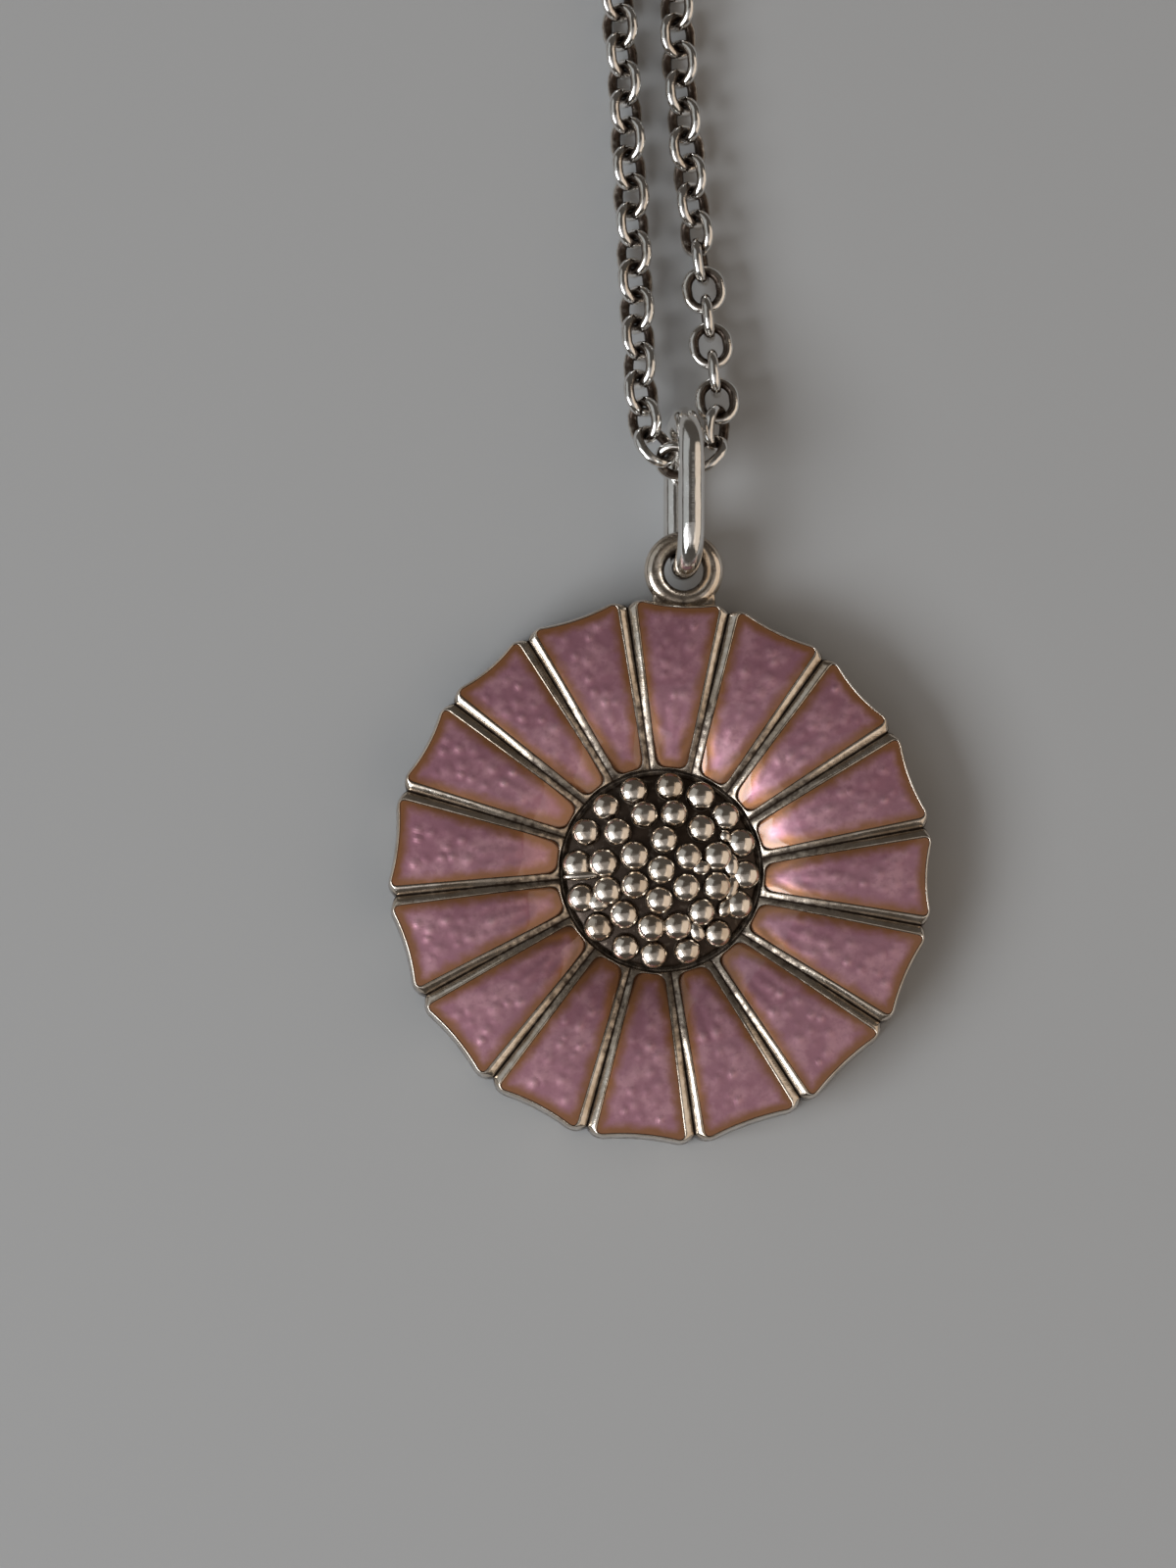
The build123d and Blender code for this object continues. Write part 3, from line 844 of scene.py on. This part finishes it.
def closed_fill(top, shape):
    """A closed body under a grid of points: its points, faces and the count of added points."""
    index = np.arange(len(top)).reshape(shape)
    corners = (index[:-1, :-1], index[:-1, 1:], index[1:, 1:], index[1:, :-1])
    faces = np.stack([corner.ravel() for corner in corners], axis=1).tolist()
    ring = np.concatenate([index[0, :-1], index[:-1, -1], index[-1, :0:-1], index[:0:-1, 0]])
    floor = top[ring].copy()
    floor[:, 2] = face_height(np.hypot(floor[:, 0], floor[:, 1])) - ENAMEL_DEPTH
    below = len(top) + np.arange(len(ring))
    walls = (ring, below, np.roll(below, -1), np.roll(ring, -1))
    faces += np.stack(walls, axis=1).tolist()
    faces.append(below.tolist())
    return np.concatenate([top, floor]), faces, len(ring)


def make_enamel(number, petal, material):
    """One petal's enamel: a glassy fill, pillowed along its sides, over the stamped relief."""
    grid, loop = enamel_grid(petal)
    root_a, tip_a, _, tip_b, root_b = cell_sides(petal)
    start, axis, length = cell_axis(petal)
    normal = np.array((axis[1], -axis[0]))
    flat = grid.reshape(-1, 2)
    along = (flat - start) @ axis
    across = (flat - start) @ normal
    ends = (np.linalg.norm(root_b - root_a) / 2, np.linalg.norm(tip_b - tip_a) / 2)
    half_width = np.interp(along, (0, length), ends)
    edge = edge_distance(flat, loop)
    from_side = np.maximum(half_width - np.abs(across), 0)
    pillow = 1 - np.exp(-from_side / ENAMEL_CROWN_REACH)
    pillow = pillow * smooth(0.0, ENAMEL_END_REACH, length - along)
    radius = np.hypot(flat[:, 0], flat[:, 1])
    sunk = ENAMEL_SINK * (1 - smooth(0.0, ENAMEL_SINK_REACH, along))
    height = face_height(radius) - ENAMEL_EDGE_DROP - sunk + ENAMEL_CROWN * pillow
    relief = stamped_relief(across, length - along, half_width)

    top = np.column_stack([flat, height])
    points, faces, added = closed_fill(top, (ENAMEL_ALONG, ENAMEL_ACROSS))
    mesh = bpy.data.meshes.new(f"petal_enamel_{number:02d}")
    mesh.from_pydata((points * MM).tolist(), [], faces)
    for name, values in (("edge", edge), ("relief", relief), ("along", along / length)):
        made = mesh.attributes.new(name, "FLOAT", "POINT")
        made.data.foreach_set("value", np.pad(values, (0, added)).astype(np.float32))
    work = bmesh.new()
    work.from_mesh(mesh)
    bmesh.ops.recalc_face_normals(work, faces=work.faces)
    work.to_mesh(mesh)
    work.free()
    mesh.shade_smooth()
    mesh.set_sharp_from_angle(angle=radians(ENAMEL_SHARP_ANGLE))
    piece = bpy.data.objects.new(mesh.name, mesh)
    bpy.context.scene.collection.objects.link(piece)
    mesh.materials.append(material)
    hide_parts(f"enamel_{number:02d}")
    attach(piece, "root")


# Chain


def chain_line():
    """Points close together along the chain's middle line, from the NURBS curve of its route."""
    curve = bpy.data.curves.new("chain_line", "CURVE")
    curve.dimensions = "3D"
    spline = curve.splines.new("NURBS")
    spline.points.add(len(CHAIN_ROUTE) - 1)
    for point, place in zip(spline.points, CHAIN_ROUTE):
        point.co = (*place, 1)
    spline.order_u = 3
    spline.use_endpoint_u = True
    spline.resolution_u = ROUTE_STEPS
    holder = bpy.data.objects.new("chain_line", curve)
    mesh = bpy.data.meshes.new_from_object(holder)
    points = np.array([vert.co for vert in mesh.vertices])
    bpy.data.objects.remove(holder)
    bpy.data.meshes.remove(mesh)
    return points


def link_template():
    """Rows of points round the wire of one link that lies along X: a stadium of round wire."""
    bend_radius = (LINK_WIDTH - LINK_WIRE) / 2
    straight = (LINK_LENGTH - LINK_WIRE) / 2 - bend_radius
    turns = np.linspace(0, 2 * pi, LINK_SIDES, endpoint=False)[:, None]
    rows = []
    for step in range(LINK_STEPS):
        angle = 2 * pi * step / LINK_STEPS
        shift = straight if cos(angle) > 0 else -straight
        middle = np.array((bend_radius * cos(angle) + shift, bend_radius * sin(angle), 0))
        out = np.array((cos(angle), sin(angle), 0))
        up = np.array((0, 0, 1))
        rows.append(middle + LINK_WIRE / 2 * (np.cos(turns) * out + np.sin(turns) * up))
    return np.array(rows)


def link_roll(number, place, length, ring_place):
    """A link's turn about the chain: 45 degrees to one side or the other along the strands, and
    flat or upright by turns at both ends and just after the bail."""
    from_ring = place - ring_place
    beside_bail = smooth(FACE_ON_FROM, FACE_ON_FROM + FACE_ON_TURN, from_ring)
    beside_bail *= 1 - smooth(FACE_ON_TO, FACE_ON_TO + FACE_ON_TURN, from_ring)
    at_end = 1 - smooth(0, END_TWIST_REACH, min(place, length - place))
    roll = LINK_TURN if number % 2 else -LINK_TURN
    return roll + LINK_TURN * max(beside_bail, at_end)


def make_chain():
    """The chain's links, evenly spaced from its start to the bail and from there to its end."""
    points = chain_line()
    steps = np.linalg.norm(np.diff(points, axis=0), axis=1)
    along = np.concatenate(([0], np.cumsum(steps)))
    length = along[-1]
    bend_point = np.argmin(points[:, 1])
    ring_point = bend_point + np.argmax(points[bend_point:, 1] > FAR_BEND[1] + FIRST_RING)
    ring_place = along[ring_point]
    pitch = LINK_LENGTH - 2 * LINK_WIRE
    ring_number = 2 * round(ring_place / pitch / 2)
    last_place = length - LAST_LINK_INSET
    last_number = ring_number + 2 * round((last_place - ring_place) / pitch / 2)
    template = link_template()
    flat = template.reshape(-1, 3)
    outward = np.cos(np.linspace(0, 2 * pi, LINK_SIDES, endpoint=False))
    # painted shade on the inner side of each link's wire, with its worn outside left bright
    darkening = np.tile(LINK_SHADE_AND_PATINA * (1 - smooth(*LINK_SHADED_TO_WORN, outward)), (LINK_STEPS, 1))
    darkening = np.concatenate([darkening, darkening[:1]])
    shell = Shell()
    for number in range(last_number + 1):
        place = np.interp(number, (0, ring_number, last_number), (0, ring_place, last_place))
        middle, before, after = (
            np.array([np.interp(spot, along, values) for values in points.T])
            for spot in (place, place - pitch / 2, place + pitch / 2)
        )
        way = Vector(after - before).normalized()
        side = Vector((0, 0, 1)).cross(way).normalized()
        up = way.cross(side)
        roll = link_roll(number, place, length, ring_place)
        lean = radians(roll + random.uniform(-LINK_SWAY, LINK_SWAY))
        turn = Matrix((way, side, up)).transposed() @ Matrix.Rotation(lean, 3, "X")
        rows = (flat @ np.array(turn).T + middle).reshape(template.shape)
        shell.add_rows(np.concatenate([rows, rows[:1]]), darkening, closed=True)
    chain = shell.build("chain_links")
    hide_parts("chain")
    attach(chain, "root")
    chain.data.materials.append(silver("chain_silver", 0.3, (0.06, 0.17), patina_and_shade=True))
    print("links:", last_number + 1, "pitch:", last_place / last_number, "length:", length)


# Materials


def add_node(tree, kind, inputs=None, **settings):
    """A node with its settings, whose inputs are values or other nodes' sockets."""
    made = tree.nodes.new(kind)
    for name, value in settings.items():
        setattr(made, name, value)
    for key, value in (inputs or {}).items():
        if isinstance(value, bpy.types.NodeSocket):
            tree.links.new(value, made.inputs[key])
        else:
            made.inputs[key].default_value = value
    return made


def new_material(name):
    """A new material, its node tree and its shader."""
    material = bpy.data.materials.new(name)
    material.use_nodes = True
    tree = material.node_tree
    return material, tree, tree.nodes["Principled BSDF"]


def noise(tree, size_mm, detail=3.0, stretch=(1, 1, 1)):
    """Noise with features of about a size, from the object's own coordinates."""
    place = add_node(tree, "ShaderNodeTexCoord").outputs["Object"]
    scaled = add_node(tree, "ShaderNodeMapping", {"Vector": place, "Scale": stretch})
    made = add_node(tree, "ShaderNodeTexNoise", {
        "Vector": scaled.outputs["Vector"], "Scale": 1 / (size_mm * MM), "Detail": detail,
    })
    return made.outputs["Fac"]


def ramp(tree, value, low, high, out_low=0.0, out_high=1.0):
    """A soft step from one result to the other as the value goes from low to high."""
    made = add_node(tree, "ShaderNodeMapRange", {
        "Value": value, "From Min": low, "From Max": high, "To Min": out_low, "To Max": out_high,
    }, interpolation_type="SMOOTHSTEP")
    return made.outputs["Result"]


def calc(tree, operation, first, second):
    """The result of a Math node."""
    return add_node(tree, "ShaderNodeMath", {0: first, 1: second}, operation=operation).outputs[0]


def ragged(tree, size_mm, detail, amount):
    """Noise that lies as far below zero as above it."""
    centred = calc(tree, "SUBTRACT", noise(tree, size_mm, detail), 0.5)
    return calc(tree, "MULTIPLY", centred, amount)


def mix(tree, share, first, second):
    """The first colour, or the second one where the share is 1."""
    made = add_node(tree, "ShaderNodeMix", {0: share, 6: first, 7: second}, data_type="RGBA")
    return made.outputs[2]


def attribute(tree, name):
    """A value that the mesh holds for each point."""
    return add_node(tree, "ShaderNodeAttribute", attribute_name=name).outputs["Fac"]


def bump(tree, shader, height, strength, distance_mm):
    """Small relief in the shader's normal."""
    made = add_node(tree, "ShaderNodeBump", {
        "Height": height, "Strength": strength, "Distance": distance_mm * MM,
    })
    tree.links.new(made.outputs["Normal"], shader.inputs["Normal"])


def silver(name, tarnish, rough, metal=SILVER, patina_and_shade=False):
    """Worn silver: uneven polish, a warm tarnish and fine scratches, dark where dirt stays and
    where shade is painted.
    """
    material, tree, shader = new_material(name)
    clouds = noise(tree, size_mm=1.6, detail=4)
    grain = noise(tree, size_mm=0.35, detail=3)
    colour = mix(tree, ramp(tree, clouds, 0.42, 0.72, 0.0, tarnish), metal, TARNISH)
    roughness = ramp(tree, grain, 0.3, 0.75, *rough)
    if patina_and_shade:
        uneven = ragged(tree, size_mm=0.3, detail=4, amount=0.9)
        # the attribute holds dirt and painted shade
        dirt = calc(tree, "ADD", attribute(tree, "patina_and_shade"), uneven)
        colour = mix(tree, ramp(tree, dirt, 0.1, 0.55, 0.0, 0.6), colour, TARNISH)
        dark = ramp(tree, dirt, 0.35, 0.95)
        colour = mix(tree, dark, colour, OXIDE)
        roughness = calc(tree, "ADD", roughness, calc(tree, "MULTIPLY", dark, 0.2))
        metallic = calc(tree, "SUBTRACT", 1.0, calc(tree, "MULTIPLY", dark, 0.4))
        tree.links.new(metallic, shader.inputs["Metallic"])
    else:
        shader.inputs["Metallic"].default_value = 1.0
    tree.links.new(colour, shader.inputs["Base Color"])
    tree.links.new(roughness, shader.inputs["Roughness"])
    scratches = noise(tree, size_mm=0.9, detail=5, stretch=(1, 14, 3))
    crossing = noise(tree, size_mm=0.9, detail=5, stretch=(16, 1, 4))
    dents = calc(tree, "MULTIPLY", noise(tree, size_mm=0.7, detail=2), 2.5)
    height = calc(tree, "ADD", calc(tree, "ADD", scratches, crossing), dents)
    bump(tree, shader, height, 0.15, SILVER_BUMP)
    return material


def enamel():
    """Pink glass over stamped silver: the relief shows in the layer below, the glass is smooth."""
    material, tree, shader = new_material("petal_enamel")
    relief = attribute(tree, "relief")
    edge = attribute(tree, "edge")
    along = attribute(tree, "along")
    clouds = noise(tree, size_mm=0.9, detail=3)
    # painted light and shade of the stamped relief: mauve round the nubs and in the low lines,
    # pinker on the raised relief
    pink = mix(tree, ramp(tree, relief, 0.1, 0.9, 0.15, 0.85), ENAMEL_MAUVE, ENAMEL_PINK)
    pink = mix(tree, ramp(tree, clouds, 0.4, 0.7, 0.0, 0.75), pink, ENAMEL_PINK)
    specks = ramp(tree, noise(tree, size_mm=0.28, detail=2), 0.5, 0.68, 0.0, 0.45)
    pink = mix(tree, specks, pink, ENAMEL_MAUVE)
    # painted highlight: pale pink on the tops of the nubs
    pink = mix(tree, ramp(tree, relief, 0.7, 1.1, 0.0, 0.5), pink, ENAMEL_NUB_HIGHLIGHT)
    uneven = ragged(tree, size_mm=0.6, detail=3, amount=0.5)
    inner_end = calc(tree, "MULTIPLY", ramp(tree, along, 0.0, 0.4, 1.0, 0.0), 0.2)
    ends = calc(tree, "ADD", inner_end, ramp(tree, along, 0.9, 1.0, 0.0, 0.14))
    depth = calc(tree, "SUBTRACT", calc(tree, "ADD", edge, uneven), ends)
    border = ramp(tree, depth, 0.02, 0.6, 1.0, 0.0)
    tree.links.new(mix(tree, border, pink, ENAMEL_AMBER), shader.inputs["Base Color"])
    shader.inputs["Metallic"].default_value = 0.7
    shader.inputs["Roughness"].default_value = 0.38
    shader.inputs["Coat Weight"].default_value = 1.0
    shader.inputs["Coat IOR"].default_value = 1.6
    shader.inputs["Coat Roughness"].default_value = 0.06
    height = calc(tree, "ADD", relief, calc(tree, "MULTIPLY", clouds, 0.5))
    bump(tree, shader, height, 1.0, ENAMEL_BUMP)
    return material


# Stage


def make_floor():
    """The plain pale floor that the necklace lies on."""
    bpy.ops.mesh.primitive_plane_add(size=FLOOR_SIZE, location=(0, FLOOR_MIDDLE, 0))
    floor = bpy.context.object
    floor.name = "floor"
    material, _, shader = new_material("floor")
    shader.inputs["Base Color"].default_value = FLOOR_COLOUR
    shader.inputs["Roughness"].default_value = FLOOR_ROUGHNESS
    floor.data.materials.append(material)


def softbox(name, bearing, elevation, distance, spans, radiance, colour):
    """A soft area light that faces the flower. Its power follows from its brightness."""
    light = bpy.data.lights.new(name, "AREA")
    light.shape = "RECTANGLE"
    light.size, light.size_y = (2 * distance * tan(radians(span / 2)) for span in spans)
    light.energy = radiance * pi * light.size * light.size_y
    light.color = colour
    lamp = bpy.data.objects.new(name, light)
    out = Vector((
        cos(radians(elevation)) * sin(radians(bearing)),
        cos(radians(elevation)) * cos(radians(bearing)),
        sin(radians(elevation)),
    ))
    lamp.location = out * distance
    lamp.rotation_euler = out.to_track_quat("Z", "Y").to_euler()
    bpy.context.scene.collection.objects.link(lamp)


def make_lights():
    """The studio's soft lights and the dim room round them."""
    for row in SOFTBOXES:
        softbox(*row)
    world = bpy.data.worlds.new("studio")
    world.use_nodes = True
    room = world.node_tree.nodes["Background"]
    room.inputs["Color"].default_value = ROOM_COLOUR
    room.inputs["Strength"].default_value = ROOM_STRENGTH
    bpy.context.scene.world = world


def make_camera():
    """The photo's view: from above, a little from the pendant's side."""
    data = bpy.data.cameras.new("camera")
    data.sensor_width = SENSOR
    data.lens = SENSOR * VIEW_DISTANCE / VIEW_HEIGHT
    data.clip_start = 0.01
    camera = bpy.data.objects.new("camera", data)
    back = Vector((0, -sin(radians(VIEW_TILT)), cos(radians(VIEW_TILT))))
    camera.location = (Vector(VIEW_POINT) + back * VIEW_DISTANCE) * MM
    camera.rotation_euler = (radians(VIEW_TILT), 0, 0)
    bpy.context.scene.collection.objects.link(camera)
    bpy.context.scene.camera = camera


make_camera()
make_floor()
make_lights()
make_flower()
enamel_material = enamel()
for number, petal in enumerate(petals(), start=1):
    make_enamel(number, petal, enamel_material)
make_chain()

polished = silver("bail_silver", 0.2, (0.08, 0.18))
for node_name in ("bail", "clasp", "end_ring"):
    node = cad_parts[node_name]
    for slot in node.material_slots:
        slot.material = polished
    node.data.shade_smooth()

bpy.context.scene.view_settings.view_transform = "Standard"
